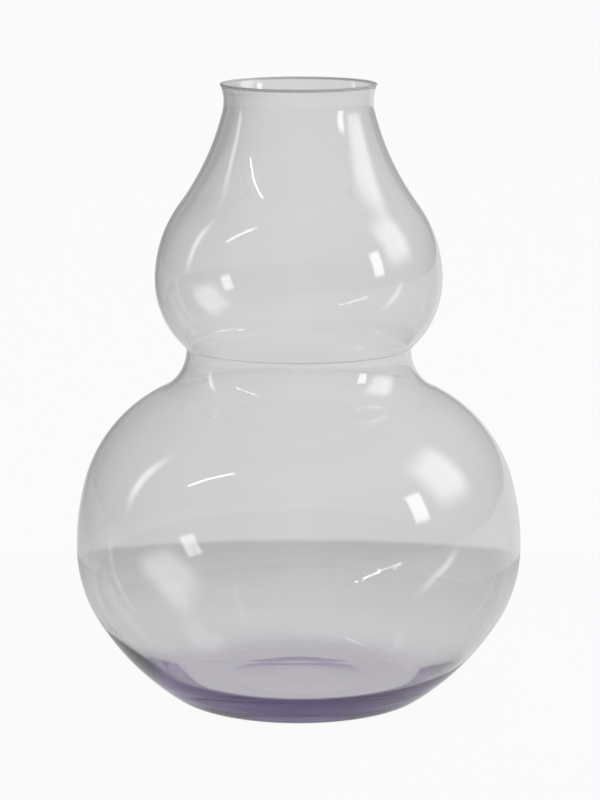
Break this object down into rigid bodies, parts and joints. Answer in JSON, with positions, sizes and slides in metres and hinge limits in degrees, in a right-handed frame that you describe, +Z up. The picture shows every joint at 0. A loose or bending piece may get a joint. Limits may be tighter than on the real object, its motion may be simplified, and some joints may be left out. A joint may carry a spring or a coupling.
{
  "type": "vase",
  "caption": "Double gourd vase in clear blown glass: a wide lower bulb, a waist, a smaller upper bulb and a flared lip, on a thick lilac base.",
  "frame": {"origin": "centre of the ground foot, on the surface the vase stands on", "axes": "+Z up along the vase's axis, towards the mouth; X and Y are alike, because the vase is a body of revolution"},
  "size_m": [0.231, 0.231, 0.32],
  "materials": {
    "clear_glass": "fire-polished, clear and neutral",
    "lilac_glass": "clear lilac, with a ground and polished foot"
  },
  "bodies": {
    "root": {"clear_bubble": "clear_glass", "lilac_gather": "lilac_glass"}
  },
  "joints": []
}
